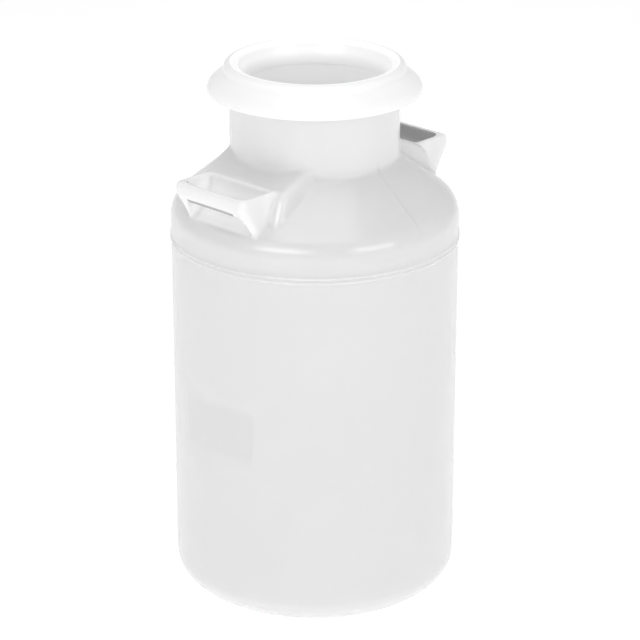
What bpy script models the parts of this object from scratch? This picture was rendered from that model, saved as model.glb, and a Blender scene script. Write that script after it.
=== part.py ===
"""Plastic milk drum: a hollow moulded drum with two shoulder handles, and a flared collar on its neck.

Metres, +Z up. The origin is at the middle of the base, on the surface that the drum stands on.
The handles lie along X and the mould's parting plane is the YZ plane.
"""

import math

import bmesh
import bpy

# Drum, turned about Z.
BODY_RADIUS = 0.165
WALL = 0.004
BASE_THICKNESS = 0.005
FOOT_ROUND = 0.029
SHOULDER_START_Z = 0.448
SHOULDER_ROUND = 0.030
CONE_ANGLE = math.radians(40.0)
NECK_RADIUS = 0.0966
NECK_ROUND = 0.008
NECK_TOP_Z = 0.608
ABOVE_MOUTH_Z = 0.638
TURN_STEPS = 64

# Pair of fine raised rings below the shoulder.
RING_MIDDLE_Z = 0.4246
RING_SPACING = 0.0052
RING_HEIGHT = 0.0012
RING_HALF_WIDTH = 0.0016

# Collar pushed over the rim of the neck.
FIT_GAP = 0.0003
COLLAR_TOP_Z = 0.6278
COLLAR_BEAD_MIDDLE = 0.0945
COLLAR_BEAD_OUTER = 0.1029
COLLAR_BEAD_HEIGHT = 0.0072
COLLAR_LIP_RADIUS = 0.0863
COLLAR_CREASE_RADIUS = 0.0819
COLLAR_CREASE_Z = 0.6075
COLLAR_SKIRT_RADIUS = 0.1215
COLLAR_SKIRT_Z = 0.5950
COLLAR_SKIRT_THICKNESS = 0.0030
COLLAR_SLEEVE_Z = 0.6000
COLLAR_SLEEVE_INNER = 0.0827
COLLAR_SLEEVE_OUTER = 0.0999
COLLAR_INNER_BEND = (0.0834, 0.6150)
# Radius and height down the flared outer side, then back up the underside.
COLLAR_FLARE = (
    (0.1038, 0.6180), (0.1062, 0.6152), (0.1092, 0.6124), (0.1130, 0.6092),
    (0.1172, 0.6060), (0.1200, 0.6027), (COLLAR_SKIRT_RADIUS, 0.5990),
)
COLLAR_UNDERSIDE = ((0.1174, 0.6008), (0.1148, 0.6034), (0.1075, 0.6085), (0.1015, 0.6120))

# Handles. Each is drawn in its own frame: X outwards from the drum's axis, Y along the grip.
HANDLE_TURNS = (("east", 0.0), ("west", math.pi))
BOSS_INNER = 0.060
BOSS_HALF_TOP = 0.0640
BOSS_HALF_FOOT = 0.0740
BOSS_EDGE_ROUND = 0.006
DECK_EDGE = 0.114
DECK_Z = 0.5135
DECK_SLOPE = 0.50
BOSS_FOOT_Z = 0.4400
# Distance from the axis and height down the steep face of the boss.
BOSS_FACE = (
    (0.1195, 0.5090), (0.1240, 0.4990), (0.1280, 0.4890), (0.1320, 0.4800), (0.1370, 0.4690), (0.1410, 0.4580),
)
BRACKET_INNER = 0.112
BRACKET_TOP_Z = 0.514
BRACKET_HALF_TOP = 0.054
BRACKET_HALF_FOOT = 0.055
BRACKET_FOOT_Z = 0.462
BRACKET_EDGE_ROUND = 0.005
# Distance from the axis and height down the slanted front of the legs.
BRACKET_FRONT = ((0.1570, 0.4820), (0.1505, 0.4700), (0.1460, BRACKET_FOOT_Z))
GRIP_OUTER = 0.170
GRIP_INNER = 0.1615
GRIP_BOTTOM_Z = 0.4984
GRIP_TOP_CUT = 0.003
GRIP_FOOT_CUT = 0.002
POCKET_HALF = 0.046
POCKET_BACK = 0.119
POCKET_FLOOR_Z = 0.467
POCKET_FLOOR_START = 0.1500
POCKET_EDGE_ROUND = 0.008
# Distance from the axis and height down the pocket's back wall.
POCKET_WALL = ((0.1195, 0.5080), (0.1225, 0.4960), (0.1265, 0.4860), (0.1320, 0.4760), (0.1400, 0.4695))
SLOT_CORNER_WIDTH = 0.026
SLOT_CORNER_HEIGHT = 0.022
SLOT_BOTTOM_Z = 0.475
SLOT_START = 0.160
SLOT_REACH = 0.190
ABOVE_HANDLE_Z = 0.545

DRUM_COLOUR = (0.80, 0.80, 0.79, 1.0)
DRUM_ROUGHNESS = 0.42
COLLAR_COLOUR = (0.93, 0.93, 0.92, 1.0)
COLLAR_ROUGHNESS = 0.30


def clear_objects():
    """Removes whatever the open file holds."""
    for thing in list(bpy.data.objects):
        bpy.data.objects.remove(thing, do_unlink=True)


def new_collection(name):
    """Makes a collection under the scene's own."""
    collection = bpy.data.collections.new(name)
    bpy.context.scene.collection.children.link(collection)
    return collection


def plastic(name, colour, roughness):
    """Makes a plain plastic material."""
    material = bpy.data.materials.new(name)
    material.use_nodes = True
    shader = material.node_tree.nodes["Principled BSDF"]
    shader.inputs["Base Color"].default_value = colour
    shader.inputs["Roughness"].default_value = roughness
    shader.inputs["Metallic"].default_value = 0.0
    return material


def arc(centre, radii, start, end, steps):
    """Points (x, z) on an elliptical arc, angles in degrees from +X towards +Z."""
    points = []
    for step in range(steps + 1):
        angle = math.radians(start + (end - start) * step / steps)
        points.append((centre[0] + radii[0] * math.cos(angle), centre[1] + radii[1] * math.sin(angle)))
    return points


def link_object(name, mesh, collection):
    """Puts a mesh in the scene under a name."""
    thing = bpy.data.objects.new(name, mesh)
    collection.objects.link(thing)
    return thing


def turned(name, profile, collection, closed):
    """Turns a profile of (radius, height) points about Z with a Screw modifier."""
    edges = [(index, index + 1) for index in range(len(profile) - 1)]
    if closed:
        edges.append((len(profile) - 1, 0))
    mesh = bpy.data.meshes.new(name)
    mesh.from_pydata([(radius, 0.0, height) for radius, height in profile], edges, [])
    thing = link_object(name, mesh, collection)
    screw = thing.modifiers.new("Turn", "SCREW")
    screw.angle = math.tau
    screw.steps = TURN_STEPS
    screw.render_steps = TURN_STEPS
    screw.use_merge_vertices = True
    screw.merge_threshold = 0.0001
    screw.use_smooth_shade = True
    return thing


def make_guide(thing):
    """Marks an object that only cuts or joins, and isn't a piece itself."""
    thing.hide_render = True
    thing.display_type = "WIRE"
    return thing


def combine(target, operand, operation):
    """Adds one Boolean step to an object."""
    step = target.modifiers.new(f"{operation.title()} {operand.name}", "BOOLEAN")
    step.operation = operation
    step.solver = "EXACT"
    step.object = operand


def cone_height(radius, inset):
    """Height of the shoulder's slope at a radius, moved into the wall by inset."""
    start = shoulder_end()
    drop = inset / math.cos(CONE_ANGLE)
    return start[1] + (start[0] - radius) * math.tan(CONE_ANGLE) - drop


def shoulder_end():
    """Where the rounded shoulder runs into the slope."""
    turn = math.radians(90.0) - CONE_ANGLE
    radius = BODY_RADIUS - SHOULDER_ROUND * (1.0 - math.cos(turn))
    height = SHOULDER_START_Z + SHOULDER_ROUND * math.sin(turn)
    return radius, height


def neck_profile(radius, inset, steps):
    """The hollow corner where the slope turns up into the neck, from the top down."""
    round_radius = NECK_ROUND + inset
    middle_x = radius + round_radius
    reach = round_radius * math.sin(CONE_ANGLE)
    foot_x = middle_x - reach
    middle_z = cone_height(foot_x, inset) + round_radius * math.cos(CONE_ANGLE)
    end = 180.0 + 90.0 - math.degrees(CONE_ANGLE)
    return arc((middle_x, middle_z), (round_radius, round_radius), 180.0, end, steps)


def ring_profile():
    """Two small raised rings, from the top down."""
    points = []
    for middle in (RING_MIDDLE_Z + RING_SPACING / 2, RING_MIDDLE_Z - RING_SPACING / 2):
        points.append((BODY_RADIUS, middle + RING_HALF_WIDTH))
        points.append((BODY_RADIUS + RING_HEIGHT, middle))
        points.append((BODY_RADIUS, middle - RING_HALF_WIDTH))
    return points


def drum_outside():
    """Outer profile of the drum, from the middle of the mouth down to the middle of the base."""
    shoulder_middle = (BODY_RADIUS - SHOULDER_ROUND, SHOULDER_START_Z)
    shoulder_turn = 90.0 - math.degrees(CONE_ANGLE)
    points = [(0.0, NECK_TOP_Z), (NECK_RADIUS, NECK_TOP_Z)]
    points += neck_profile(NECK_RADIUS, 0.0, 4)
    points += arc(shoulder_middle, (SHOULDER_ROUND, SHOULDER_ROUND), shoulder_turn, 0.0, 6)
    points += ring_profile()
    points += arc((BODY_RADIUS - FOOT_ROUND, FOOT_ROUND), (FOOT_ROUND, FOOT_ROUND), 0.0, -90.0, 7)
    points.append((0.0, 0.0))
    return points


def drum_inside():
    """Profile of the hollow, which runs on above the rim to open the mouth."""
    inner_foot = FOOT_ROUND - WALL
    foot_middle = (BODY_RADIUS - FOOT_ROUND, BASE_THICKNESS + inner_foot)
    inner_shoulder = SHOULDER_ROUND - WALL
    shoulder_middle = (BODY_RADIUS - SHOULDER_ROUND, SHOULDER_START_Z)
    shoulder_turn = 90.0 - math.degrees(CONE_ANGLE)
    points = [(0.0, ABOVE_MOUTH_Z), (NECK_RADIUS - WALL, ABOVE_MOUTH_Z)]
    points += neck_profile(NECK_RADIUS - WALL, WALL, 3)
    points += arc(shoulder_middle, (inner_shoulder, inner_shoulder), shoulder_turn, 0.0, 5)
    points += arc(foot_middle, (inner_foot, inner_foot), 0.0, -90.0, 5)
    points.append((0.0, BASE_THICKNESS))
    return points


def collar_profile():
    """Closed section of the collar, down its outer side first."""
    neck_outside = NECK_RADIUS + FIT_GAP
    neck_inside = NECK_RADIUS - WALL - FIT_GAP
    groove_top = NECK_TOP_Z + FIT_GAP
    bead_z = COLLAR_TOP_Z - COLLAR_BEAD_HEIGHT
    bead_width = COLLAR_BEAD_OUTER - COLLAR_BEAD_MIDDLE
    lip_width = COLLAR_BEAD_MIDDLE - COLLAR_LIP_RADIUS
    points = arc((COLLAR_BEAD_MIDDLE, bead_z), (bead_width, COLLAR_BEAD_HEIGHT), 90.0, 0.0, 4)
    points += COLLAR_FLARE
    points += [(COLLAR_SKIRT_RADIUS, COLLAR_SKIRT_Z)]
    points += [(COLLAR_SKIRT_RADIUS - COLLAR_SKIRT_THICKNESS, COLLAR_SKIRT_Z)]
    points += COLLAR_UNDERSIDE
    points += [(COLLAR_SLEEVE_OUTER, COLLAR_SLEEVE_Z), (neck_outside, COLLAR_SLEEVE_Z)]
    points += [(neck_outside, groove_top), (neck_inside, groove_top)]
    points += [(neck_inside, COLLAR_SLEEVE_Z), (COLLAR_SLEEVE_INNER, COLLAR_SLEEVE_Z)]
    points += [(COLLAR_CREASE_RADIUS, COLLAR_CREASE_Z), COLLAR_INNER_BEND]
    points += arc((COLLAR_BEAD_MIDDLE, bead_z), (lip_width, COLLAR_BEAD_HEIGHT), 180.0, 90.0, 4)[:-1]
    return points


def prism(name, outline, half_top, half_foot, collection):
    """Solid with an (x, z) outline, as wide along Y as half_top at its top and half_foot at its foot."""
    top = max(point[1] for point in outline)
    foot = min(point[1] for point in outline)
    mesh = bpy.data.meshes.new(name)
    body = bmesh.new()
    corners = [body.verts.new((x, -1.0, z)) for x, z in outline]
    side = body.faces.new(corners)
    grown = bmesh.ops.extrude_face_region(body, geom=[side])
    far_side = [item for item in grown["geom"] if isinstance(item, bmesh.types.BMVert)]
    bmesh.ops.translate(body, verts=far_side, vec=(0.0, 2.0, 0.0))
    for vertex in body.verts:
        share = (top - vertex.co.z) / (top - foot)
        vertex.co.y *= half_top + (half_foot - half_top) * share
    bmesh.ops.recalc_face_normals(body, faces=body.faces)
    body.to_mesh(mesh)
    body.free()
    return make_guide(link_object(name, mesh, collection))


def boss_outline(inset):
    """Raised block round a handle, or the space in it when moved in: a sloped deck, then a steep face.

    The face leans by about a third, so moving it in by inset also lowers its points by part of that.
    """
    deck_end = DECK_EDGE - inset * 0.6
    deck_z = DECK_Z - inset
    inner_z = deck_z + DECK_SLOPE * (deck_end - BOSS_INNER)
    points = [(BOSS_INNER, BOSS_FOOT_Z - inset), (BOSS_INNER, inner_z), (deck_end, deck_z)]
    points += [(x - inset, z - inset * 0.4) for x, z in BOSS_FACE]
    points.append((BOSS_FACE[-1][0] - inset, BOSS_FOOT_Z - inset))
    return points


def bracket_outline():
    """Side view of the handle's legs and grip, with a front that slants back to the shoulder."""
    points = [(BRACKET_INNER, BRACKET_FOOT_Z), (BRACKET_INNER, BRACKET_TOP_Z)]
    points += [(GRIP_OUTER - GRIP_TOP_CUT, BRACKET_TOP_Z), (GRIP_OUTER, BRACKET_TOP_Z - GRIP_TOP_CUT)]
    points += [(GRIP_OUTER, GRIP_BOTTOM_Z + GRIP_TOP_CUT), (GRIP_OUTER - GRIP_FOOT_CUT, GRIP_BOTTOM_Z)]
    points += BRACKET_FRONT
    return points


def pocket_outline(outset):
    """Finger pocket behind the grip, seen from the side: a steep back wall and a level floor.

    Moved out by outset it is the pocket with the plastic round it, which is kept out of the hollow.
    """
    points = [(POCKET_BACK - outset, ABOVE_HANDLE_Z)]
    points += [(x - outset, z - outset * 0.5) for x, z in POCKET_WALL]
    points.append((POCKET_FLOOR_START, POCKET_FLOOR_Z - outset))
    far = GRIP_INNER if outset == 0.0 else SLOT_REACH
    points += [(far, POCKET_FLOOR_Z - outset), (far, ABOVE_HANDLE_Z)]
    return points


def slot(name, collection):
    """Opening below the grip, with wide round corners where the legs flare into it."""
    corner_z = GRIP_BOTTOM_Z - SLOT_CORNER_HEIGHT
    corner_y = POCKET_HALF - SLOT_CORNER_WIDTH
    corner = (SLOT_CORNER_WIDTH, SLOT_CORNER_HEIGHT)
    outline = [(-POCKET_HALF, SLOT_BOTTOM_Z), (POCKET_HALF, SLOT_BOTTOM_Z)]
    outline += arc((corner_y, corner_z), corner, 0.0, 90.0, 5)
    outline += arc((-corner_y, corner_z), corner, 90.0, 180.0, 5)
    mesh = bpy.data.meshes.new(name)
    body = bmesh.new()
    corners = [body.verts.new((SLOT_START, y, z)) for y, z in outline]
    side = body.faces.new(corners)
    grown = bmesh.ops.extrude_face_region(body, geom=[side])
    far_side = [item for item in grown["geom"] if isinstance(item, bmesh.types.BMVert)]
    bmesh.ops.translate(body, verts=far_side, vec=(SLOT_REACH - SLOT_START, 0.0, 0.0))
    bmesh.ops.recalc_face_normals(body, faces=body.faces)
    body.to_mesh(mesh)
    body.free()
    return make_guide(link_object(name, mesh, collection))


def round_edges(thing, width):
    """Rounds the sharp edges of a guide solid."""
    bevel = thing.modifiers.new("Round", "BEVEL")
    bevel.width = width
    bevel.segments = 3
    bevel.limit_method = "ANGLE"
    bevel.angle_limit = math.radians(60.0)


def build_drum(parts, guides):
    """The drum with its two handles, hollow and open at the mouth."""
    drum = turned("drum", drum_outside(), parts, False)
    hollow = make_guide(turned("hollow", drum_inside(), guides, False))
    cuts = []
    for side, turn in HANDLE_TURNS:
        boss = prism(f"boss_{side}", boss_outline(0.0), BOSS_HALF_TOP, BOSS_HALF_FOOT, guides)
        round_edges(boss, BOSS_EDGE_ROUND)
        boss_space = prism(
            f"boss_space_{side}", boss_outline(WALL), BOSS_HALF_TOP - WALL, BOSS_HALF_FOOT - WALL, guides
        )
        bracket = prism(f"bracket_{side}", bracket_outline(), BRACKET_HALF_TOP, BRACKET_HALF_FOOT, guides)
        round_edges(bracket, BRACKET_EDGE_ROUND)
        pocket = prism(f"pocket_{side}", pocket_outline(0.0), POCKET_HALF, POCKET_HALF, guides)
        round_edges(pocket, POCKET_EDGE_ROUND)
        pocket_wall = prism(
            f"pocket_wall_{side}", pocket_outline(WALL), POCKET_HALF + WALL, POCKET_HALF + WALL, guides
        )
        opening = slot(f"slot_{side}", guides)
        for guide in (boss, boss_space, bracket, pocket, pocket_wall, opening):
            guide.rotation_euler = (0.0, 0.0, turn)
        combine(drum, boss, "UNION")
        combine(drum, bracket, "UNION")
        combine(hollow, boss_space, "UNION")
        combine(hollow, pocket_wall, "DIFFERENCE")
        cuts += [pocket, opening]
    for cut in cuts:
        combine(drum, cut, "DIFFERENCE")
    combine(drum, hollow, "DIFFERENCE")
    drum.data.materials.append(plastic("natural_plastic", DRUM_COLOUR, DRUM_ROUGHNESS))
    return drum


def build_collar(parts):
    """The flared ring on the neck."""
    collar = turned("collar", collar_profile(), parts, True)
    collar.data.materials.append(plastic("white_plastic", COLLAR_COLOUR, COLLAR_ROUGHNESS))
    return collar


def main():
    """Builds the whole object."""
    clear_objects()
    parts = new_collection("milk_drum")
    guides = new_collection("milk_drum_guides")
    build_drum(parts, guides)
    build_collar(parts)


main()
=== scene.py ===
import math

import bmesh
import bpy
from mathutils import Matrix, Vector


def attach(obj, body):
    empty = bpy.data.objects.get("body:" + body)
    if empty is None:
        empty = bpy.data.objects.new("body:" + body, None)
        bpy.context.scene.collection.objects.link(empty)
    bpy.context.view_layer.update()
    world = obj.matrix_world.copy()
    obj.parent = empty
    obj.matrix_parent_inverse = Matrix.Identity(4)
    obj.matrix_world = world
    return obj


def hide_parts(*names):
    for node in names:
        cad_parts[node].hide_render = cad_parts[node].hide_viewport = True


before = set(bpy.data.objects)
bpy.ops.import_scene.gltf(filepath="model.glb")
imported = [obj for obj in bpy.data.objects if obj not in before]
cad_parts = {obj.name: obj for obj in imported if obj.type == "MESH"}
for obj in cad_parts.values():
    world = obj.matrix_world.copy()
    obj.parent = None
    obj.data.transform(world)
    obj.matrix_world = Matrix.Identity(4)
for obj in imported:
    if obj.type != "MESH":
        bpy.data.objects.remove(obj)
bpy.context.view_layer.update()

# Drum, in metres, as the solids have it.
BODY_RADIUS = 0.165
WALL = 0.004
BASE_THICKNESS = 0.005
FOOT_ROUND = 0.029
SHOULDER_START_Z = 0.448
SHOULDER_ROUND = 0.030
CONE_ANGLE = math.radians(40.0)
NECK_RADIUS = 0.0966
NECK_ROUND = 0.008
NECK_TOP_Z = 0.608
RIM_ROUND = 0.0010
TURN_STEPS = 192
WALL_ROWS = 10
PLATE_ROWS = 4
SHOULDER_STEPS = 12
NECK_CORNER_STEPS = 8
RIM_STEPS = 3
FOOT_STEPS = 14
INNER_FOOT_STEPS = 10

# Edges sharper than this stay sharp under the smooth shading.
SMOOTH_ANGLE = math.radians(35.0)
MERGE_DISTANCE = 1e-6
CUT_DISTANCE = 1e-7
# Room for rounding when an edge's place is tested.
LEEWAY = 0.001

# The shoulder with its handles is fused and smoothed between these heights, the rest is turned.
SHOULDER_LOW_Z = 0.441
SHOULDER_HIGH_Z = 0.556
SHOULDER_SPARE = 0.014
SHOULDER_VOXEL = 0.00170
SHOULDER_SMOOTHING = 14
SMOOTH_FACTOR = 0.5
SEAM = 0.002
SEAM_LEEWAY = 1.1
# The hollow corner at the foot of the neck is smoothed further than the handles.
NECK_FOOT_REACH = 0.114
NECK_FOOT_TOP_Z = 0.548
NECK_FOOT_SMOOTHING = 8

# Pair of fine raised rings below the shoulder.
RING_MIDDLE_Z = 0.4246
RING_SPACING = 0.0052
RING_HEIGHT = 0.0012
RING_HALF_WIDTH = 0.0016
RING_STEPS = 4

# Collar pushed over the rim of the neck.
FIT_GAP = 0.0003
COLLAR_TOP_Z = 0.6278
COLLAR_BEAD_MIDDLE = 0.0945
COLLAR_BEAD_OUTER = 0.1029
COLLAR_BEAD_HEIGHT = 0.0072
COLLAR_LIP_RADIUS = 0.0863
COLLAR_CREASE_RADIUS = 0.0819
COLLAR_CREASE_Z = 0.6075
COLLAR_SKIRT_RADIUS = 0.1215
COLLAR_SKIRT_Z = 0.5950
COLLAR_SKIRT_THICKNESS = 0.0030
COLLAR_SLEEVE_Z = 0.6000
COLLAR_SLEEVE_INNER = 0.0827
COLLAR_SLEEVE_OUTER = 0.0999
COLLAR_INNER_BEND = (0.0834, 0.6150)
COLLAR_STEPS = 256
COLLAR_BEAD_STEPS = 12
# Radius and height down the flared outer side, then back up the underside.
COLLAR_FLARE = (
    (0.1038, 0.6180), (0.1062, 0.6152), (0.1092, 0.6124), (0.1130, 0.6092),
    (0.1172, 0.6060), (0.1200, 0.6027), (COLLAR_SKIRT_RADIUS, 0.5990),
)
COLLAR_UNDERSIDE = ((0.1174, 0.6008), (0.1148, 0.6034), (0.1075, 0.6085), (0.1015, 0.6120))

# Handles, drawn with X outwards from the drum's axis and Y along the grip.
HANDLE_TURNS = (0.0, math.pi)
BOSS_INNER = 0.060
BOSS_HALF_TOP = 0.0640
BOSS_HALF_FOOT = 0.0740
BOSS_FOOT_Z = 0.4400
BOSS_EDGE_ROUND = 0.008
BOSS_EDGE_STEPS = 5
BOSS_ROUND_LOW_Z = 0.450
# Distance from the axis and height down the steep face of the boss.
BOSS_FACE = (
    (0.1195, 0.5090), (0.1240, 0.4990), (0.1280, 0.4890), (0.1320, 0.4800), (0.1370, 0.4690),
    (0.1410, 0.4580),
)
DECK_EDGE = 0.114
DECK_Z = 0.5135
DECK_SLOPE = 0.50
BRACKET_INNER = 0.112
BRACKET_TOP_Z = 0.514
BRACKET_HALF_TOP = 0.054
BRACKET_HALF_FOOT = 0.055
BRACKET_FOOT_Z = 0.462
BRACKET_EDGE_ROUND = 0.006
BRACKET_EDGE_STEPS = 4
# Distance from the axis and height down the slanted front of the legs.
BRACKET_FRONT = ((0.1570, 0.4820), (0.1505, 0.4700), (0.1460, BRACKET_FOOT_Z))
GRIP_OUTER = 0.170
GRIP_INNER = 0.1615
GRIP_BOTTOM_Z = 0.4984
GRIP_TOP_CUT = 0.003
GRIP_FOOT_CUT = 0.002
WINDOW_CORNER = 0.011
WINDOW_CORNER_STEPS = 6
WINDOW_LEAST_HEIGHT = 0.01
POCKET_HALF = 0.046
POCKET_BACK = 0.119
POCKET_FLOOR_Z = 0.467
POCKET_FLOOR_START = 0.1500
POCKET_CORNER = 0.007
POCKET_CORNER_STEPS = 4
# Distance from the axis and height down the pocket's back wall.
POCKET_WALL = ((0.1195, 0.5080), (0.1225, 0.4960), (0.1265, 0.4860), (0.1320, 0.4760), (0.1400, 0.4695))
SLOT_CORNER = (0.026, 0.022)
SLOT_CORNER_STEPS = 8
SLOT_BOTTOM_Z = 0.475
SLOT_START = 0.160
SLOT_REACH = 0.190
ABOVE_HANDLE_Z = 0.545
# Share of the wall by which slanted outlines move down, or the deck's edge moves in, for the inner skin.
DECK_SHARE = 0.6
FACE_SHARE = 0.4
POCKET_SHARE = 0.5
# Thin inner lip of the grip, which hangs a little below its front.
LIP_THICKNESS = 0.0045
LIP_BOTTOM_Z = 0.4918
LIP_ROOT = 0.004
LIP_HALF = 0.036

# Bare sunk plate under the handle at -X.
PLATE_LOW_Z = 0.201
PLATE_HIGH_Z = 0.262
PLATE_HALF_ANGLE = math.radians(18.8)
PLATE_EDGE = 0.0016
PLATE_DEPTH = 0.0005

# Moulded skin. Each pattern has a scale, a larger one being finer, a detail and, for one, a roughness.
GRAIN_NOISE = (900.0, 2.0)
WAVE_NOISE = (14.0, 1.0)
CLOUD_NOISE = (6.0, 3.0)
RUBBED_NOISE = (45.0, 5.0, 0.6)
RELIEF_HEIGHT = 0.001
# How far the clouds change the tone and the rubbed spots the gloss.
CLOUD_RANGE = (0.3, 0.7)
TONE_RANGE = (0.975, 1.0)
RUBBED_RANGE = (0.25, 0.75)
GLOSS_RANGE = (0.97, 1.04)

# Both plastics: strength of the grain and waves, roughness, grey tone, and how light sinks into them.
DRUM_LOOK = {"grain": 0.008, "wave": 0.08, "roughness": 0.23, "tone": 0.84, "milky": 1.0, "depth": 0.014}
COLLAR_LOOK = {"grain": 0.006, "wave": 0.03, "roughness": 0.26, "tone": 0.94, "milky": 0.3, "depth": 0.002}
DRUM_SHINE = 1.0
# Painted shade: grey that the handles are darkened towards.
HANDLE_SHADE_TONE = 0.78
# Painted shade: dark grey of the grips' inner side and of the lip's face below the grip, where shade falls.
SHADE_TONE = 0.33

# Painted glow, an emission that stands in for light through the walls of the neck and mouth, between two
# heights and inside a radius, and in the pockets.
GLOW_HEIGHTS = (0.500, 0.606)
NECK_GLOW_RADIUS = 0.0935
NECK_GLOW = 0.145
COLLAR_GLOW_RADIUS = 0.0960
COLLAR_GLOW = 0.16
POCKET_GLOW = 0.20

# Zones of the drum's material: middle, half width and soft edge of a band along each of three ways.
# "out" is the distance along X to either side, "along" follows the grip and "up" is the height.
RIDGE_ZONE = {"out": (0.0, 0.0001, 0.0013)}
SLOPE_ZONE = {"up": (0.4950, 0.0230, 0.0180)}
# Painted shade: the grips' inner side and the lip's face below the grip are painted dark grey where they lie
# in shade.
GRIP_SHADE_ZONE = {
    "out": (0.1605, 0.0030, 0.0006), "along": (0.0, 0.0440, 0.0015), "up": (0.5042, 0.0088, 0.0006),
}
LIP_SHADE_ZONE = {
    "out": (0.1630, 0.0042, 0.0006), "along": (0.0, 0.0350, 0.0020), "up": (0.4935, 0.0028, 0.0008),
}
# Painted shade over the handles.
HANDLE_SHADE_ZONE = {"out": (0.1720, 0.0280, 0.0140), "up": (0.5000, 0.0280, 0.0080)}
# Painted glow in the pockets behind the grips.
POCKET_GLOW_ZONE = {
    "out": (0.1330, 0.0120, 0.0100), "along": (0.0, 0.0450, 0.0030), "up": (0.4760, 0.0160, 0.0240),
}
# Height of the mould's ridge off the slope and on it.
RIDGE_RANGE = (0.05, 0.60)

# Camera, from the photograph's outlines.
PHOTO_SIDE = 640
FOCAL_PIXELS = 2700.0
SENSOR_WIDTH = 36.0
CAMERA_AZIMUTH = math.radians(-46.3)
CAMERA_ELEVATION = math.radians(21.9)
CAMERA_DISTANCE = 3.145
CAMERA_AIM_Z = 0.3139
CAMERA_SIDE_STEP = 0.0059
CAMERA_REACH = 50.0

# Studio: the white surround, the pale floor and the soft lights.
WHITE = (1.0, 1.0, 1.0, 1.0)
SURROUND_STRENGTH = 0.66
FLOOR_HALF = 6.0
FLOOR_DROP = 0.0005
FLOOR_GLOW = 0.330
FLOOR_ROUGHNESS = 0.9
FLOOR_NOISE = (3.0, 3.0)
FLOOR_TONES = (0.90, 0.94)
LIGHT_AIM_Z = 0.40
# Degrees from the camera's side, degrees up, distance, width, height and power.
STUDIO_LIGHTS = {
    "key_left": (-26.0, 21.0, 2.6, 1.7, 0.70, 10.8),
    "key_right": (47.0, 18.0, 2.6, 1.5, 0.70, 7.6),
    "side_right": (105.0, 20.0, 2.8, 1.6, 1.6, 0.9),
    "side_left": (-100.0, 20.0, 2.8, 1.6, 1.6, 0.9),
    "top": (0.0, 80.0, 2.4, 2.0, 2.0, 12.6),
}


def arc(centre, radii, start, end, steps):
    """Points (x, z) on an elliptical arc, angles in degrees from +X towards +Z."""
    points = []
    for step in range(steps + 1):
        angle = math.radians(start + (end - start) * step / steps)
        points.append((centre[0] + radii[0] * math.cos(angle), centre[1] + radii[1] * math.sin(angle)))
    return points


def shoulder_end():
    """Where the rounded shoulder runs into the slope."""
    turn = math.radians(90.0) - CONE_ANGLE
    radius = BODY_RADIUS - SHOULDER_ROUND * (1.0 - math.cos(turn))
    return radius, SHOULDER_START_Z + SHOULDER_ROUND * math.sin(turn)


def cone_height(radius, inset=0.0):
    """Height of the shoulder's slope at a radius, moved into the wall by inset."""
    start = shoulder_end()
    return start[1] + (start[0] - radius) * math.tan(CONE_ANGLE) - inset / math.cos(CONE_ANGLE)


def neck_corner(radius, inset, steps):
    """The hollow corner where the slope turns up into the neck, from the top down."""
    size = NECK_ROUND + inset
    middle_x = radius + size
    foot_x = middle_x - size * math.sin(CONE_ANGLE)
    middle_z = cone_height(foot_x, inset) + size * math.cos(CONE_ANGLE)
    return arc((middle_x, middle_z), (size, size), 180.0, 270.0 - math.degrees(CONE_ANGLE), steps)


def spin_mesh(profile, steps, closed=False):
    """Turns a profile of (radius, height) points about Z and returns the bmesh."""
    body = bmesh.new()
    line = [body.verts.new((radius, 0.0, height)) for radius, height in profile]
    edges = [body.edges.new(pair) for pair in zip(line, line[1:])]
    if closed:
        edges.append(body.edges.new((line[-1], line[0])))
    bmesh.ops.spin(
        body, geom=line + edges, cent=(0.0, 0.0, 0.0), axis=(0.0, 0.0, 1.0), dvec=(0.0, 0.0, 0.0),
        angle=math.tau, steps=steps, use_merge=True, use_duplicate=False,
    )
    bmesh.ops.remove_doubles(body, verts=body.verts, dist=MERGE_DISTANCE)
    return body


def piece_from(body, name):
    """Makes an object from a bmesh and shades it smooth."""
    mesh = bpy.data.meshes.new(name)
    body.to_mesh(mesh)
    body.free()
    thing = bpy.data.objects.new(name, mesh)
    bpy.context.scene.collection.objects.link(thing)
    mesh.shade_smooth()
    mesh.set_sharp_from_angle(angle=SMOOTH_ANGLE)
    return thing


def round_off(body, chosen, size, segments):
    """Rounds those edges of a bmesh that the chosen test picks by their two end points."""
    picked = [edge for edge in body.edges if chosen(edge.verts[0].co, edge.verts[1].co)]
    bmesh.ops.bevel(
        body, geom=picked, offset=size, offset_type="OFFSET", segments=segments, profile=0.5,
        affect="EDGES", clamp_overlap=True, material=-1,
    )


def on_one_side(first, second):
    """Whether two points lie on the same side of the handle's middle."""
    return first.y * second.y > 0.0


def pushed_out(corners, way):
    """Bmesh of a flat outline pushed along a vector into a block."""
    body = bmesh.new()
    side = body.faces.new([body.verts.new(corner) for corner in corners])
    grown = bmesh.ops.extrude_face_region(body, geom=[side])
    far_side = [item for item in grown["geom"] if isinstance(item, bmesh.types.BMVert)]
    bmesh.ops.translate(body, verts=far_side, vec=way)
    return body


def prism(outline, half_top, half_foot):
    """Bmesh with an (x, z) outline, as wide along Y as half_top at its top and half_foot at its foot."""
    top = max(point[1] for point in outline)
    foot = min(point[1] for point in outline)
    # Drawn from -1 to 1 along Y, and then brought to its width.
    body = pushed_out([(x, -1.0, z) for x, z in outline], (0.0, 2.0, 0.0))
    for vertex in body.verts:
        share = (top - vertex.co.z) / (top - foot)
        vertex.co.y *= half_top + (half_foot - half_top) * share
    bmesh.ops.recalc_face_normals(body, faces=body.faces)
    return body


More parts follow.
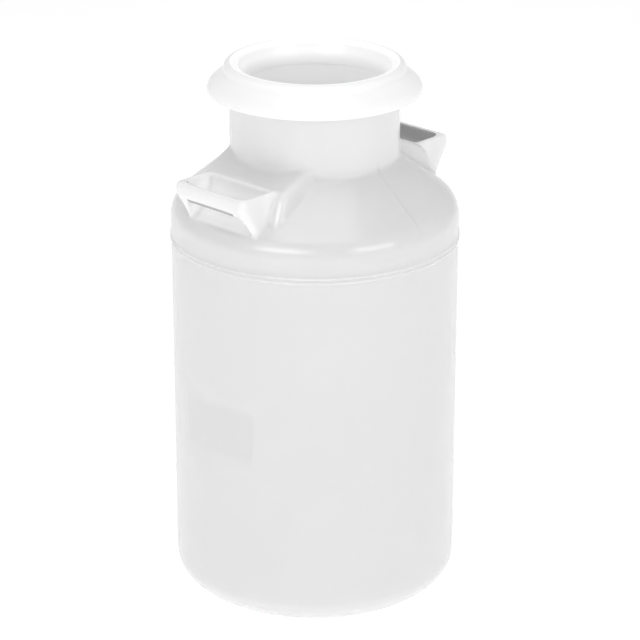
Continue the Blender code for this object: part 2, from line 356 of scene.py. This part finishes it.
def boss(inset):
    """Raised block round a handle, or the space in it when moved in: a sloped deck, then a steep face."""
    deck_end = DECK_EDGE - inset * DECK_SHARE
    deck_z = DECK_Z - inset
    inner_z = deck_z + DECK_SLOPE * (deck_end - BOSS_INNER)
    face = BOSS_FACE + ((BOSS_FACE[-1][0], BOSS_FOOT_Z),)
    points = [(BOSS_INNER, BOSS_FOOT_Z), (BOSS_INNER, inner_z), (deck_end, deck_z)]
    points += [(x - inset, z - inset * FACE_SHARE) for x, z in face]
    body = prism(points, BOSS_HALF_TOP - inset, BOSS_HALF_FOOT - inset)

    def along_side(first, second):
        above_foot = max(first.z, second.z) > BOSS_ROUND_LOW_Z
        past_inner_end = max(first.x, second.x) > BOSS_INNER + LEEWAY
        return on_one_side(first, second) and above_foot and past_inner_end

    round_off(body, along_side, BOSS_EDGE_ROUND - inset, BOSS_EDGE_STEPS)
    return body


def bracket():
    """Legs and grip, with a front that slants back to the shoulder."""
    points = [(BRACKET_INNER, BRACKET_FOOT_Z), (BRACKET_INNER, BRACKET_TOP_Z)]
    points += [(GRIP_OUTER - GRIP_TOP_CUT, BRACKET_TOP_Z), (GRIP_OUTER, BRACKET_TOP_Z - GRIP_TOP_CUT)]
    points += [(GRIP_OUTER, GRIP_BOTTOM_Z + GRIP_TOP_CUT), (GRIP_OUTER - GRIP_FOOT_CUT, GRIP_BOTTOM_Z)]
    points += BRACKET_FRONT
    body = prism(points, BRACKET_HALF_TOP, BRACKET_HALF_FOOT)

    def along_side(first, second):
        return on_one_side(first, second) and min(first.x, second.x) > BRACKET_INNER + LEEWAY

    round_off(body, along_side, BRACKET_EDGE_ROUND, BRACKET_EDGE_STEPS)
    return body


def pocket(outset):
    """Space for the fingers behind the grip, or that space with its plastic when moved out."""
    far = GRIP_INNER if outset == 0.0 else SLOT_REACH
    floor_z = POCKET_FLOOR_Z - outset
    points = [(POCKET_BACK - outset, ABOVE_HANDLE_Z)]
    points += [(x - outset, z - outset * POCKET_SHARE) for x, z in POCKET_WALL]
    points += [(POCKET_FLOOR_START, floor_z), (far, floor_z), (far, ABOVE_HANDLE_Z)]
    body = prism(points, POCKET_HALF + outset, POCKET_HALF + outset)

    def window_corner(first, second):
        upright = abs(first.z - second.z) > WINDOW_LEAST_HEIGHT
        return min(first.x, second.x) > GRIP_INNER - MERGE_DISTANCE and upright

    def back_corner(first, second):
        behind = max(first.x, second.x) < POCKET_FLOOR_START + MERGE_DISTANCE
        return on_one_side(first, second) and behind

    round_off(body, window_corner, WINDOW_CORNER, WINDOW_CORNER_STEPS)
    round_off(body, back_corner, POCKET_CORNER + outset, POCKET_CORNER_STEPS)
    return body


def grip_lip():
    """Thin lip on the inner side of the grip."""
    front = GRIP_INNER + LIP_THICKNESS
    top = GRIP_BOTTOM_Z + LIP_ROOT
    points = [(GRIP_INNER, LIP_BOTTOM_Z), (GRIP_INNER, top), (front, top), (front, LIP_BOTTOM_Z)]
    return prism(points, LIP_HALF, LIP_HALF)


def slot():
    """Opening below the grip, with wide round corners where the legs run into it."""
    corner_z = GRIP_BOTTOM_Z - SLOT_CORNER[1]
    corner_y = POCKET_HALF - SLOT_CORNER[0]
    outline = [(-POCKET_HALF, SLOT_BOTTOM_Z), (POCKET_HALF, SLOT_BOTTOM_Z)]
    outline += arc((corner_y, corner_z), SLOT_CORNER, 0.0, 90.0, SLOT_CORNER_STEPS)
    outline += arc((-corner_y, corner_z), SLOT_CORNER, 90.0, 180.0, SLOT_CORNER_STEPS)
    body = pushed_out([(SLOT_START, y, z) for y, z in outline], (SLOT_REACH - SLOT_START, 0.0, 0.0))
    bmesh.ops.recalc_face_normals(body, faces=body.faces)
    return body


def shoulder_solid(inset):
    """The turned block that the handles are fused to, moved into the wall by inset."""
    shoulder_middle = (BODY_RADIUS - SHOULDER_ROUND, SHOULDER_START_Z)
    round_radius = SHOULDER_ROUND - inset
    slope_start = 90.0 - math.degrees(CONE_ANGLE)
    high = SHOULDER_HIGH_Z + SHOULDER_SPARE
    low = SHOULDER_LOW_Z - SHOULDER_SPARE
    points = [(0.0, high), (NECK_RADIUS - inset, high)]
    points += neck_corner(NECK_RADIUS - inset, inset, NECK_CORNER_STEPS)
    points += arc(shoulder_middle, (round_radius, round_radius), slope_start, 0.0, SHOULDER_STEPS)
    points += [(BODY_RADIUS - inset, low), (0.0, low)]
    body = spin_mesh(points, TURN_STEPS)
    bmesh.ops.recalc_face_normals(body, faces=body.faces)
    return body


def fuse(target, guide_mesh, turn, operation, helpers):
    """Adds one Boolean step, with the guide turned about Z."""
    turned = Matrix.Rotation(turn, 3, "Z")
    bmesh.ops.rotate(guide_mesh, verts=guide_mesh.verts, cent=(0.0, 0.0, 0.0), matrix=turned)
    guide = piece_from(guide_mesh, f"guide_{len(helpers)}")
    helpers.append(guide)
    step = target.modifiers.new(f"step_{len(helpers)}", "BOOLEAN")
    step.operation = operation
    step.solver = "EXACT"
    step.object = guide


def add_handles(block, inset, helpers):
    """Fuses both handles to the shoulder. The inner skin has only the raised block and the pocket."""
    outer = inset == 0.0
    for turn in HANDLE_TURNS:
        fuse(block, boss(inset), turn, "UNION", helpers)
        if outer:
            fuse(block, bracket(), turn, "UNION", helpers)
    for turn in HANDLE_TURNS:
        fuse(block, pocket(inset), turn, "DIFFERENCE", helpers)
        if outer:
            fuse(block, slot(), turn, "DIFFERENCE", helpers)
            fuse(block, grip_lip(), turn, "UNION", helpers)


def soften(block):
    """Turns the fused block into an even mesh and relaxes it, so that every joint is a soft fillet."""
    even = block.modifiers.new("voxels", "REMESH")
    even.mode = "VOXEL"
    even.voxel_size = SHOULDER_VOXEL
    relax = block.modifiers.new("relax", "SMOOTH")
    relax.factor = SMOOTH_FACTOR
    relax.iterations = SHOULDER_SMOOTHING


def soften_neck_foot(body):
    """Rounds the hollow corner where the neck meets the slope and the blocks of the handles."""
    chosen = []
    for vertex in body.verts:
        if math.hypot(vertex.co.x, vertex.co.y) < NECK_FOOT_REACH and vertex.co.z < NECK_FOOT_TOP_Z:
            chosen.append(vertex)
    for _ in range(NECK_FOOT_SMOOTHING):
        bmesh.ops.smooth_vert(
            body, verts=chosen, factor=SMOOTH_FACTOR, use_axis_x=True, use_axis_y=True, use_axis_z=True,
        )


def trim_skin(body, inset):
    """Cuts the skin flat at both ends and makes its two open rims truly round."""
    for height, upward in ((SHOULDER_HIGH_Z, 1.0), (SHOULDER_LOW_Z, -1.0)):
        geometry = list(body.verts) + list(body.edges) + list(body.faces)
        bmesh.ops.bisect_plane(
            body, geom=geometry, dist=CUT_DISTANCE, plane_co=(0.0, 0.0, height), plane_no=(0.0, 0.0, upward),
            clear_outer=True,
        )
    middle_z = (SHOULDER_HIGH_Z + SHOULDER_LOW_Z) / 2
    for vertex in body.verts:
        if vertex.is_boundary:
            radius = (NECK_RADIUS if vertex.co.z > middle_z else BODY_RADIUS) - inset
            scale = radius / math.hypot(vertex.co.x, vertex.co.y)
            vertex.co.x *= scale
            vertex.co.y *= scale


def shoulder_skin(inset):
    """Skin of the shoulder with both handles, open at its lower and upper end, as a bmesh.

    With no inset it is the outer skin. Moved in by the wall it is the inner one.
    """
    block = piece_from(shoulder_solid(inset), "shoulder_block")
    helpers = [block]
    add_handles(block, inset, helpers)
    if inset == 0.0:
        soften(block)
    graph = bpy.context.evaluated_depsgraph_get()
    body = bmesh.new()
    body.from_mesh(block.evaluated_get(graph).to_mesh())
    if inset == 0.0:
        soften_neck_foot(body)
    for helper in helpers:
        bpy.data.objects.remove(helper, do_unlink=True)
    trim_skin(body, inset)
    return body


def ring_profile():
    """Two small raised rings, from the top down."""
    points = []
    for middle in (RING_MIDDLE_Z + RING_SPACING / 2, RING_MIDDLE_Z - RING_SPACING / 2):
        for step in range(-RING_STEPS, RING_STEPS + 1):
            share = step / RING_STEPS
            lift = RING_HEIGHT * 0.5 * (1.0 + math.cos(math.pi * share))
            points.append((BODY_RADIUS + lift, middle - RING_HALF_WIDTH * share))
    return points


def body_profile():
    """Outside of the drum below the shoulder, from the top down to the middle of the base."""
    points = [(BODY_RADIUS, SHOULDER_LOW_Z - SEAM)] + ring_profile()
    rows = [(RING_MIDDLE_Z - RING_SPACING - RING_HALF_WIDTH, PLATE_HIGH_Z, WALL_ROWS)]
    rows += [(PLATE_HIGH_Z, PLATE_LOW_Z, PLATE_ROWS), (PLATE_LOW_Z, FOOT_ROUND, WALL_ROWS)]
    for start, end, count in rows:
        points += [(BODY_RADIUS, start + (end - start) * step / count) for step in range(count)]
    foot_middle = (BODY_RADIUS - FOOT_ROUND, FOOT_ROUND)
    points += arc(foot_middle, (FOOT_ROUND, FOOT_ROUND), 0.0, -90.0, FOOT_STEPS)
    points.append((0.0, 0.0))
    return points


def neck_profile():
    """Neck above the shoulder, up its outer side, over the rim and down its inner side."""
    outer_rim = (NECK_RADIUS - RIM_ROUND, NECK_TOP_Z - RIM_ROUND)
    inner_rim = (NECK_RADIUS - WALL + RIM_ROUND, NECK_TOP_Z - RIM_ROUND)
    points = [(NECK_RADIUS, SHOULDER_HIGH_Z + SEAM)]
    points += arc(outer_rim, (RIM_ROUND, RIM_ROUND), 0.0, 90.0, RIM_STEPS)
    points += arc(inner_rim, (RIM_ROUND, RIM_ROUND), 90.0, 180.0, RIM_STEPS)
    points.append((NECK_RADIUS - WALL, SHOULDER_HIGH_Z + SEAM))
    return points


def inside_profile():
    """Inner wall below the shoulder, down to the middle of the floor."""
    inner_foot = FOOT_ROUND - WALL
    foot_middle = (BODY_RADIUS - FOOT_ROUND, BASE_THICKNESS + inner_foot)
    points = [(BODY_RADIUS - WALL, SHOULDER_LOW_Z - SEAM)]
    points += arc(foot_middle, (inner_foot, inner_foot), 0.0, -90.0, INNER_FOOT_STEPS)
    points.append((0.0, BASE_THICKNESS))
    return points


def sink_plate(body):
    """Sinks the bare plate a little into the turned wall."""
    chosen = []
    for face in body.faces:
        middle = face.calc_center_median()
        angle = math.atan2(middle.y, -middle.x)
        if PLATE_LOW_Z < middle.z < PLATE_HIGH_Z and abs(angle) < PLATE_HALF_ANGLE:
            chosen.append(face)
    bmesh.ops.recalc_face_normals(body, faces=body.faces)
    bmesh.ops.inset_region(
        body, faces=chosen, thickness=PLATE_EDGE, depth=-PLATE_DEPTH, use_boundary=True, use_even_offset=True,
    )


def open_loops(body, height, radius):
    """Edges of the two open rims on either side of a seam at a height and radius."""
    found = []
    for edge in body.edges:
        corner = edge.verts[0].co
        near_seam = abs(corner.z - height) < SEAM * SEAM_LEEWAY
        on_skin = abs(math.hypot(corner.x, corner.y) - radius) < WALL / 4
        if edge.is_boundary and near_seam and on_skin:
            found.append(edge)
    return found


def join_meshes(first, second):
    """Copies the second bmesh into the first and frees it."""
    carrier = bpy.data.meshes.new("carrier")
    second.to_mesh(carrier)
    second.free()
    first.from_mesh(carrier)
    bpy.data.meshes.remove(carrier)


def drum_mesh():
    """The whole hollow drum as one closed bmesh."""
    body = shoulder_skin(0.0)
    wall = spin_mesh(body_profile(), TURN_STEPS)
    sink_plate(wall)
    neck = spin_mesh(neck_profile(), TURN_STEPS)
    inside = spin_mesh(inside_profile(), TURN_STEPS)
    for other in (shoulder_skin(WALL), wall, neck, inside):
        join_meshes(body, other)
    for inset in (0.0, WALL):
        bmesh.ops.bridge_loops(body, edges=open_loops(body, SHOULDER_LOW_Z, BODY_RADIUS - inset))
        bmesh.ops.bridge_loops(body, edges=open_loops(body, SHOULDER_HIGH_Z, NECK_RADIUS - inset))
    bmesh.ops.recalc_face_normals(body, faces=body.faces)
    return body


def collar_profile():
    """Closed section of the collar, down its outer side first."""
    neck_outside = NECK_RADIUS + FIT_GAP
    neck_inside = NECK_RADIUS - WALL - FIT_GAP
    groove_top = NECK_TOP_Z + FIT_GAP
    bead = (COLLAR_BEAD_MIDDLE, COLLAR_TOP_Z - COLLAR_BEAD_HEIGHT)
    bead_width = COLLAR_BEAD_OUTER - COLLAR_BEAD_MIDDLE
    lip_width = COLLAR_BEAD_MIDDLE - COLLAR_LIP_RADIUS
    skirt_inside = COLLAR_SKIRT_RADIUS - COLLAR_SKIRT_THICKNESS
    points = arc(bead, (bead_width, COLLAR_BEAD_HEIGHT), 90.0, 0.0, COLLAR_BEAD_STEPS)
    points += COLLAR_FLARE
    points += [(COLLAR_SKIRT_RADIUS, COLLAR_SKIRT_Z), (skirt_inside, COLLAR_SKIRT_Z)]
    points += COLLAR_UNDERSIDE
    points += [(COLLAR_SLEEVE_OUTER, COLLAR_SLEEVE_Z), (neck_outside, COLLAR_SLEEVE_Z)]
    points += [(neck_outside, groove_top), (neck_inside, groove_top)]
    points += [(neck_inside, COLLAR_SLEEVE_Z), (COLLAR_SLEEVE_INNER, COLLAR_SLEEVE_Z)]
    points += [(COLLAR_CREASE_RADIUS, COLLAR_CREASE_Z), COLLAR_INNER_BEND]
    points += arc(bead, (lip_width, COLLAR_BEAD_HEIGHT), 180.0, 90.0, COLLAR_BEAD_STEPS)[:-1]
    return points


def shader_group(name, inputs, outputs):
    """Makes an empty shader node group with its sockets, and returns it with its two end nodes.

    Inputs are names with their usual value, or None for a vector. Outputs are names with their kind.
    """
    group = bpy.data.node_groups.new(name, "ShaderNodeTree")
    for label, value in inputs.items():
        kind = "NodeSocketVector" if value is None else "NodeSocketFloat"
        socket = group.interface.new_socket(name=label, in_out="INPUT", socket_type=kind)
        if value is not None:
            socket.default_value = value
    for label, kind in outputs.items():
        group.interface.new_socket(name=label, in_out="OUTPUT", socket_type=kind)
    start = group.nodes.new("NodeGroupInput")
    end = group.nodes.new("NodeGroupOutput")
    return group, start.outputs, end.inputs


def put(tree, kind, settings, values, links):
    """Adds a node, sets its properties and constants, and links its inputs."""
    node = tree.nodes.new(kind)
    for name, value in settings.items():
        setattr(node, name, value)
    for socket, value in values.items():
        node.inputs[socket].default_value = value
    for socket, source in links.items():
        tree.links.new(source, node.inputs[socket])
    return node


def worked(tree, operation, *sources):
    """Adds one step of arithmetic on one or two outputs."""
    return put(tree, "ShaderNodeMath", {"operation": operation}, {}, dict(enumerate(sources))).outputs[0]


def scaled(tree, source, amount):
    """Multiplies an output by a constant."""
    return put(tree, "ShaderNodeMath", {"operation": "MULTIPLY"}, {1: amount}, {0: source}).outputs[0]


def product(tree, sources):
    """Multiplies several outputs together."""
    result = sources[0]
    for source in sources[1:]:
        result = worked(tree, "MULTIPLY", result, source)
    return result


def ranged(tree, value, source, target, kind="LINEAR"):
    """Maps a value from one range to another."""
    limits = {"From Min": source[0], "From Max": source[1], "To Min": target[0], "To Max": target[1]}
    node = put(tree, "ShaderNodeMapRange", {"interpolation_type": kind}, limits, {"Value": value})
    return node.outputs["Result"]


def noise(tree, vector, scale, detail, roughness=0.5):
    """Adds a noise pattern and returns its value."""
    values = {"Scale": scale, "Detail": detail, "Roughness": roughness}
    return put(tree, "ShaderNodeTexNoise", {}, values, {"Vector": vector}).outputs["Fac"]


def plastic_skin_group():
    """Skin of moulded plastic: fine grain, slow waves of the wall and a soft change of tone."""
    group, start, end = shader_group(
        "plastic_skin", {"Vector": None, "Grain": 0.2, "Wave": 0.5, "Relief": 0.0},
        {"Normal": "NodeSocketVector", "Tone": "NodeSocketFloat", "Gloss": "NodeSocketFloat"},
    )
    grain = product(group, [noise(group, start["Vector"], *GRAIN_NOISE), start["Grain"]])
    waves = product(group, [noise(group, start["Vector"], *WAVE_NOISE), start["Wave"]])
    cloud = noise(group, start["Vector"], *CLOUD_NOISE)
    rubbed = noise(group, start["Vector"], *RUBBED_NOISE)
    height = worked(group, "ADD", worked(group, "ADD", grain, waves), start["Relief"])
    bump = put(group, "ShaderNodeBump", {}, {"Strength": 1.0, "Distance": RELIEF_HEIGHT}, {"Height": height})
    group.links.new(bump.outputs["Normal"], end["Normal"])
    group.links.new(ranged(group, cloud, CLOUD_RANGE, TONE_RANGE), end["Tone"])
    group.links.new(ranged(group, rubbed, RUBBED_RANGE, GLOSS_RANGE), end["Gloss"])
    return group


def band_group():
    """One inside a band round a middle value, zero outside it, with a soft edge."""
    group, start, end = shader_group(
        "soft_band", {"Value": 0.0, "Middle": 0.0, "Half Width": 0.01, "Edge": 0.001},
        {"Band": "NodeSocketFloat"},
    )
    offset = worked(group, "SUBTRACT", start["Value"], start["Middle"])
    distance = worked(group, "ABSOLUTE", offset)
    outer = worked(group, "ADD", start["Half Width"], start["Edge"])
    fade = put(
        group, "ShaderNodeMapRange", {"interpolation_type": "SMOOTHSTEP"}, {"To Min": 1.0, "To Max": 0.0},
        {"Value": distance, "From Min": start["Half Width"], "From Max": outer},
    )
    group.links.new(fade.outputs["Result"], end["Band"])
    return group


def wall_glow_group():
    """Painted glow that stands in for light through the plastic into the neck and the mouth, by distance from
    the axis and height.
    """
    sockets = {"Vector": None, "Radius": 0.09}
    group, start, end = shader_group("wall_glow", sockets, {"Glow": "NodeSocketFloat"})
    split = put(group, "ShaderNodeSeparateXYZ", {}, {}, {0: start["Vector"]}).outputs
    flat = put(group, "ShaderNodeCombineXYZ", {}, {"Z": 0.0}, {"X": split["X"], "Y": split["Y"]})
    radius = put(group, "ShaderNodeVectorMath", {"operation": "LENGTH"}, {}, {0: flat.outputs[0]})
    inside = worked(group, "LESS_THAN", radius.outputs["Value"], start["Radius"])
    rise = ranged(group, split["Z"], GLOW_HEIGHTS, (0.0, 1.0), "SMOOTHSTEP")
    group.links.new(product(group, [inside, rise]), end["Glow"])
    return group


def zone(tree, soft_band, ways, sizes):
    """Soft mask of a zone: one where all its bands overlap."""
    bands = []
    for way, (middle, half_width, edge) in sizes.items():
        values = {"Middle": middle, "Half Width": half_width, "Edge": edge}
        node = put(tree, "ShaderNodeGroup", {"node_tree": soft_band}, values, {"Value": ways[way]})
        bands.append(node.outputs["Band"])
    return product(tree, bands)


def glow_in(tree, wall_glow, place, radius, strength):
    """Light through the wall inside a radius, at a strength."""
    node = put(tree, "ShaderNodeGroup", {"node_tree": wall_glow}, {"Radius": radius}, {"Vector": place})
    return scaled(tree, node.outputs["Glow"], strength)


def towards_grey(tree, share, colour, grey):
    """Mixes a colour towards a grey by a share."""
    # A colour mix takes its share at socket 0 and its colours at 6 and 7, and gives the result at 2.
    plain = (grey, grey, grey, 1.0)
    node = put(tree, "ShaderNodeMix", {"data_type": "RGBA"}, {7: plain}, {0: share, 6: colour})
    return node.outputs[2]


def new_material(name):
    """Makes a node material and returns it with its tree, shader and Object coordinates."""
    material = bpy.data.materials.new(name)
    material.use_nodes = True
    tree = material.node_tree
    place = tree.nodes.new("ShaderNodeTexCoord").outputs["Object"]
    return material, tree, tree.nodes["Principled BSDF"], place


def add_plastic(tree, shader, skin, place, look):
    """Gives a shader the moulded skin and milky depth, and returns the skin's node and the tinted colour."""
    node = put(
        tree, "ShaderNodeGroup", {"node_tree": skin}, {"Grain": look["grain"], "Wave": look["wave"]},
        {"Vector": place},
    )
    plain = (look["tone"], look["tone"], look["tone"])
    tint = put(
        tree, "ShaderNodeVectorMath", {"operation": "SCALE"}, {0: plain}, {"Scale": node.outputs["Tone"]},
    )
    tree.links.new(node.outputs["Normal"], shader.inputs["Normal"])
    tree.links.new(scaled(tree, node.outputs["Gloss"], look["roughness"]), shader.inputs["Roughness"])
    shader.inputs["Subsurface Weight"].default_value = look["milky"]
    shader.inputs["Subsurface Radius"].default_value = (1.0, 1.0, 1.0)
    shader.inputs["Subsurface Scale"].default_value = look["depth"]
    return node, tint.outputs[0]


def add_light(tree, shader, light):
    """Adds a painted glow as emission, standing in for the light that comes through a wall from behind."""
    tree.links.new(light, shader.inputs["Emission Color"])
    shader.inputs["Emission Strength"].default_value = 1.0


def natural_plastic(skin, soft_band, wall_glow):
    """Milky plastic of the drum, with the mould's fine ridge, painted shade on the inner side of the grips,
    on the lip's face and over the handles, and a painted glow in the pockets and the neck.
    """
    material, tree, shader, place = new_material("natural_plastic")
    node, tint = add_plastic(tree, shader, skin, place, DRUM_LOOK)
    shader.inputs["Specular IOR Level"].default_value = DRUM_SHINE
    split = put(tree, "ShaderNodeSeparateXYZ", {}, {}, {0: place}).outputs
    ways = {"out": worked(tree, "ABSOLUTE", split["X"]), "along": split["Y"], "up": split["Z"]}

    slope = zone(tree, soft_band, ways, SLOPE_ZONE)
    ridge = zone(tree, soft_band, ways, RIDGE_ZONE)
    relief = product(tree, [ridge, ranged(tree, slope, (0.0, 1.0), RIDGE_RANGE)])
    tree.links.new(relief, node.inputs["Relief"])

    # Painted shade: dark grey on the grips' inner side and on the lip's face below the grip, where shade
    # falls.
    grip_shade = zone(tree, soft_band, ways, GRIP_SHADE_ZONE)
    lip_shade = zone(tree, soft_band, ways, LIP_SHADE_ZONE)
    shade = worked(tree, "MAXIMUM", grip_shade, lip_shade)
    # Painted shade: the handles are greyed a little, then the painted shade of the inner side is laid over
    # them.
    handle = towards_grey(tree, zone(tree, soft_band, ways, HANDLE_SHADE_ZONE), tint, HANDLE_SHADE_TONE)
    tree.links.new(towards_grey(tree, shade, handle, SHADE_TONE), shader.inputs["Base Color"])

    # Painted glow: the pockets and the neck get an emission that stands in for light through the plastic.
    pocket_light = scaled(tree, zone(tree, soft_band, ways, POCKET_GLOW_ZONE), POCKET_GLOW)
    neck_light = glow_in(tree, wall_glow, place, NECK_GLOW_RADIUS, NECK_GLOW)
    add_light(tree, shader, worked(tree, "ADD", pocket_light, neck_light))
    return material


def white_plastic(skin, wall_glow):
    """Solid white plastic of the collar, with a painted glow on its inner wall."""
    material, tree, shader, place = new_material("white_plastic")
    tint = add_plastic(tree, shader, skin, place, COLLAR_LOOK)[1]
    tree.links.new(tint, shader.inputs["Base Color"])
    add_light(tree, shader, glow_in(tree, wall_glow, place, COLLAR_GLOW_RADIUS, COLLAR_GLOW))
    return material


def make_drum(skin, soft_band, wall_glow):
    """The hollow drum."""
    drum = piece_from(drum_mesh(), "drum_shell")
    drum.data.materials.append(natural_plastic(skin, soft_band, wall_glow))
    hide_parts("drum")
    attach(drum, "root")


def make_collar(skin, wall_glow):
    """The flared collar."""
    body = spin_mesh(collar_profile(), COLLAR_STEPS, closed=True)
    bmesh.ops.recalc_face_normals(body, faces=body.faces)
    collar = piece_from(body, "collar_ring")
    collar.data.materials.append(white_plastic(skin, wall_glow))
    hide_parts("collar")
    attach(collar, "root")


def make_floor():
    """A wide pale floor that glows a little, like a lit studio table."""
    body = bmesh.new()
    bmesh.ops.create_grid(body, x_segments=1, y_segments=1, size=FLOOR_HALF)
    bmesh.ops.translate(body, verts=body.verts, vec=(0.0, 0.0, -FLOOR_DROP))
    floor = piece_from(body, "floor")
    material, tree, shader, place = new_material("pale_floor")
    mottle = ranged(tree, noise(tree, place, *FLOOR_NOISE), (0.0, 1.0), FLOOR_TONES)
    tree.links.new(mottle, shader.inputs["Base Color"])
    shader.inputs["Roughness"].default_value = FLOOR_ROUGHNESS
    shader.inputs["Emission Color"].default_value = WHITE
    shader.inputs["Emission Strength"].default_value = FLOOR_GLOW
    floor.data.materials.append(material)


def photo_direction(azimuth, elevation):
    """Unit vector from the object towards a place at that azimuth and elevation."""
    flat = math.cos(elevation)
    return Vector((math.sin(azimuth) * flat, -math.cos(azimuth) * flat, math.sin(elevation)))


def make_camera():
    """The camera at the photograph's angle."""
    camera_data = bpy.data.cameras.new("photo_camera")
    camera = bpy.data.objects.new("photo_camera", camera_data)
    bpy.context.scene.collection.objects.link(camera)
    camera_data.sensor_width = SENSOR_WIDTH
    camera_data.lens = FOCAL_PIXELS * SENSOR_WIDTH / PHOTO_SIDE
    camera_data.clip_end = CAMERA_REACH
    back = photo_direction(CAMERA_AZIMUTH, CAMERA_ELEVATION)
    right = Vector((math.cos(CAMERA_AZIMUTH), math.sin(CAMERA_AZIMUTH), 0.0))
    aim = Vector((0.0, 0.0, CAMERA_AIM_Z)) + right * CAMERA_SIDE_STEP
    camera.location = aim + back * CAMERA_DISTANCE
    camera.rotation_euler = back.to_track_quat("Z", "Y").to_euler()
    bpy.context.scene.camera = camera


def area_light(name, azimuth, elevation, distance, width, height, power):
    """A soft rectangular light that faces the drum."""
    data = bpy.data.lights.new(name, "AREA")
    data.shape = "RECTANGLE"
    data.size = width
    data.size_y = height
    data.energy = power
    lamp = bpy.data.objects.new(name, data)
    bpy.context.scene.collection.objects.link(lamp)
    direction = photo_direction(CAMERA_AZIMUTH + math.radians(azimuth), math.radians(elevation))
    lamp.location = Vector((0.0, 0.0, LIGHT_AIM_Z)) + direction * distance
    lamp.rotation_euler = direction.to_track_quat("Z", "Y").to_euler()


def make_light():
    """Plain soft studio light: a white surround, two wide lights in front, two at the sides and one above."""
    world = bpy.data.worlds.new("studio")
    world.use_nodes = True
    surround = world.node_tree.nodes["Background"].inputs
    surround["Color"].default_value = WHITE
    surround["Strength"].default_value = SURROUND_STRENGTH
    bpy.context.scene.world = world
    for name, settings in STUDIO_LIGHTS.items():
        area_light(name, *settings)
    bpy.context.scene.view_settings.view_transform = "Standard"


skin_nodes = plastic_skin_group()
band_nodes = band_group()
glow_nodes = wall_glow_group()
make_camera()
make_drum(skin_nodes, band_nodes, glow_nodes)
make_collar(skin_nodes, glow_nodes)
make_floor()
make_light()
